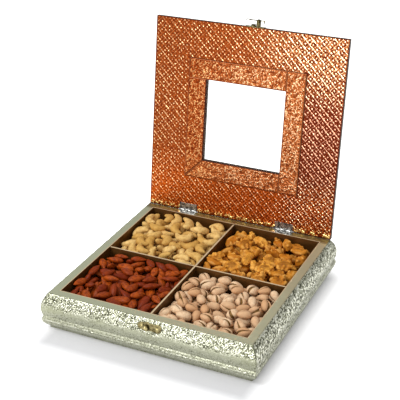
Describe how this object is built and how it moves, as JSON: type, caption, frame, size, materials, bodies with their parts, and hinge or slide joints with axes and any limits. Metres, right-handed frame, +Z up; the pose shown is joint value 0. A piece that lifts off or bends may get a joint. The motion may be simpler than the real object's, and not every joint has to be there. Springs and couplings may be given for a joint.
{
  "type": "dried fruit box",
  "caption": "Square lidded serving box with divided compartments, foil covered moulded sides, a hinged lid with a window, and a hook that locks on a knob.",
  "frame": {"origin": "on the floor under the middle of the tray", "axes": "+X right, -Y front (the side with the catch), +Z up"},
  "size_m": [0.2684, 0.3067, 0.3048],
  "materials": {
    "wood": "plain sawn softwood",
    "silver_foil": "embossed with scrolls and rings, softly shining",
    "copper_foil": "embossed with small diamonds, copper coloured",
    "copper_trim": "embossed with small flowers, copper coloured",
    "gold_card": "gold faced, pale raw edges",
    "steel": "dull plated steel",
    "brass": "tarnished brass",
    "pane": "clear"
  },
  "bodies": {
    "box": {"bottom_board": "wood", "bottom_nails": "steel", "front_wall": "wood", "back_wall": "wood", "left_wall": "wood", "right_wall": "wood", "front_foil": "silver_foil", "back_foil": "silver_foil", "left_foil": "silver_foil", "right_foil": "silver_foil", "front_liner": "gold_card", "back_liner": "gold_card", "left_liner": "gold_card", "right_liner": "gold_card", "floor_liner": "gold_card", "divider_across": "gold_card", "divider_lengthwise": "gold_card", "left_hinge_box_leaf": "steel", "right_hinge_box_leaf": "steel", "left_hinge_pin": "steel", "right_hinge_pin": "steel", "hinge_box_nails": "steel", "catch_plate": "brass", "catch_knob": "brass", "catch_nails": "brass"},
    "lid": {"lid_panel": "wood", "lid_inner_foil": "copper_foil", "lid_outer_foil": "silver_foil", "trim_top": "copper_trim", "trim_bottom": "copper_trim", "trim_left": "copper_trim", "trim_right": "copper_trim", "window_pane": "pane", "left_hinge_lid_leaf": "steel", "right_hinge_lid_leaf": "steel", "hinge_lid_nails": "steel", "hook_plate": "brass", "hook_pin": "brass", "hook_plate_nails": "brass"},
    "hook": {"hook": "brass"}
  },
  "joints": [
    {"name": "lid_hinge", "type": "hinge", "parent": "box", "child": "lid", "pos_m": [0, 0.126, 0.0464], "axis": [1, 0, 0], "range_deg": [0, 98.1]},
    {"name": "hook_hinge", "type": "hinge", "parent": "lid", "child": "hook", "pos_m": [0.01, 0.16623, 0.30279], "axis": [0, 0.1409, 0.99], "range_deg": [-120, 58.89]}
  ]
}
